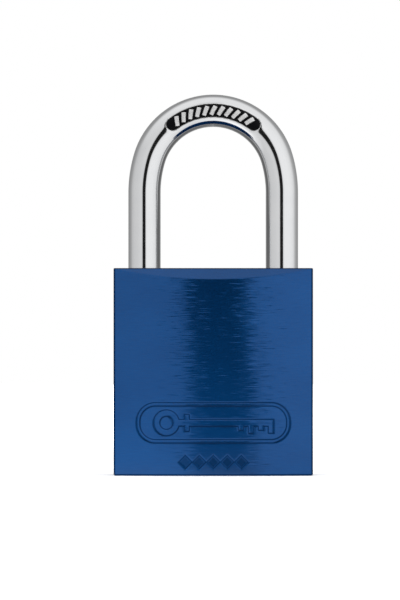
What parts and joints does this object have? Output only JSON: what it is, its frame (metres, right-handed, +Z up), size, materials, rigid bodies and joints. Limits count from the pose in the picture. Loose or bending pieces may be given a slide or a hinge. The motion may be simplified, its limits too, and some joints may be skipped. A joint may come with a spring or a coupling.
{
  "type": "safety padlock",
  "caption": "Padlock with a solid anodised body, a sprung round-rod shackle held by two sliding bolts, and a pin-tumbler cylinder keyed from below.",
  "frame": {"origin": "middle of the body's flat underside", "axes": "+Z up from the underside through the shackle, -Y out of the front face, X across the width; the toe leg is on +X"},
  "size_m": [0.04, 0.02, 0.0766],
  "materials": {
    "anodised_body": "brushed, blue anodised",
    "plated_steel": "polished plating, black fill in the crown panel",
    "brass": "machined",
    "steel": "machined",
    "spring_steel": "drawn wire",
    "pin_metal": "nickel silver, turned"
  },
  "bodies": {
    "body": {"body": "anodised_body", "side_bore_plug": "anodised_body", "heel_stop_pin": "steel", "bolt_spring_post": "steel", "cylinder_housing": "brass", "chamber_cover": "brass", "cylinder_screw": "steel", "shackle_spring": "spring_steel", "heel_bolt_spring": "spring_steel", "toe_bolt_spring": "spring_steel", "pin_spring_1": "spring_steel", "pin_spring_2": "spring_steel", "pin_spring_3": "spring_steel", "pin_spring_4": "spring_steel", "pin_spring_5": "spring_steel", "pin_spring_6": "spring_steel"},
    "shackle": {"shackle": "plated_steel"},
    "plug": {"plug": "brass", "plug_clip": "steel", "drive_cam": "steel"},
    "heel_bolt": {"heel_bolt": "steel"},
    "toe_bolt": {"toe_bolt": "steel"},
    "key_pin_1": {"key_pin_1": "brass"},
    "key_pin_2": {"key_pin_2": "brass"},
    "key_pin_3": {"key_pin_3": "brass"},
    "key_pin_4": {"key_pin_4": "brass"},
    "key_pin_5": {"key_pin_5": "brass"},
    "key_pin_6": {"key_pin_6": "brass"},
    "driver_pin_1": {"driver_pin_1": "pin_metal"},
    "driver_pin_2": {"driver_pin_2": "pin_metal"},
    "driver_pin_3": {"driver_pin_3": "pin_metal"},
    "driver_pin_4": {"driver_pin_4": "pin_metal"},
    "driver_pin_5": {"driver_pin_5": "pin_metal"},
    "driver_pin_6": {"driver_pin_6": "pin_metal"}
  },
  "joints": [
    {"name": "shackle_lift", "type": "slide", "parent": "body", "child": "shackle", "axis": [0, 0, 1], "range_m": [0, 0.0118], "deforming": ["shackle_spring"]},
    {"name": "plug_turn", "type": "hinge", "parent": "body", "child": "plug", "pos_m": [0, 0, 0.0003], "axis": [0, 0, 1], "range_deg": [-90, 0]},
    {"name": "heel_bolt_slide", "type": "slide", "parent": "body", "child": "heel_bolt", "axis": [-1, 0, 0], "range_m": [0, 0.0026], "deforming": ["heel_bolt_spring"]},
    {"name": "toe_bolt_slide", "type": "slide", "parent": "body", "child": "toe_bolt", "axis": [1, 0, 0], "range_m": [0, 0.0026], "deforming": ["toe_bolt_spring"]},
    {"name": "key_pin_1_slide", "type": "slide", "parent": "plug", "child": "key_pin_1", "axis": [0, -1, 0], "range_m": [0, 0.0011]},
    {"name": "key_pin_2_slide", "type": "slide", "parent": "plug", "child": "key_pin_2", "axis": [0, -1, 0], "range_m": [0, 0.0017]},
    {"name": "key_pin_3_slide", "type": "slide", "parent": "plug", "child": "key_pin_3", "axis": [0, -1, 0], "range_m": [0, 0.0007]},
    {"name": "key_pin_4_slide", "type": "slide", "parent": "plug", "child": "key_pin_4", "axis": [0, -1, 0], "range_m": [0, 0.0014]},
    {"name": "key_pin_5_slide", "type": "slide", "parent": "plug", "child": "key_pin_5", "axis": [0, -1, 0], "range_m": [0, 0.0009]},
    {"name": "key_pin_6_slide", "type": "slide", "parent": "plug", "child": "key_pin_6", "axis": [0, -1, 0], "range_m": [0, 0.0019]},
    {"name": "driver_pin_1_slide", "type": "slide", "parent": "body", "child": "driver_pin_1", "axis": [1, 0, 0], "range_m": [0, 0.0018], "stiffness_N_per_m": 300, "springref_m": -0.002, "deforming": ["pin_spring_1"]},
    {"name": "driver_pin_2_slide", "type": "slide", "parent": "body", "child": "driver_pin_2", "axis": [1, 0, 0], "range_m": [0, 0.0018], "stiffness_N_per_m": 300, "springref_m": -0.002, "deforming": ["pin_spring_2"]},
    {"name": "driver_pin_3_slide", "type": "slide", "parent": "body", "child": "driver_pin_3", "axis": [1, 0, 0], "range_m": [0, 0.0018], "stiffness_N_per_m": 300, "springref_m": -0.002, "deforming": ["pin_spring_3"]},
    {"name": "driver_pin_4_slide", "type": "slide", "parent": "body", "child": "driver_pin_4", "axis": [1, 0, 0], "range_m": [0, 0.0018], "stiffness_N_per_m": 300, "springref_m": -0.002, "deforming": ["pin_spring_4"]},
    {"name": "driver_pin_5_slide", "type": "slide", "parent": "body", "child": "driver_pin_5", "axis": [1, 0, 0], "range_m": [0, 0.0018], "stiffness_N_per_m": 300, "springref_m": -0.002, "deforming": ["pin_spring_5"]},
    {"name": "driver_pin_6_slide", "type": "slide", "parent": "body", "child": "driver_pin_6", "axis": [1, 0, 0], "range_m": [0, 0.0018], "stiffness_N_per_m": 300, "springref_m": -0.002, "deforming": ["pin_spring_6"]}
  ],
  "couplings": [
    {"joint": "heel_bolt_slide", "follows": "plug_turn", "m_per_rad": -0.0016208},
    {"joint": "toe_bolt_slide", "follows": "plug_turn", "m_per_rad": -0.0016208}
  ]
}
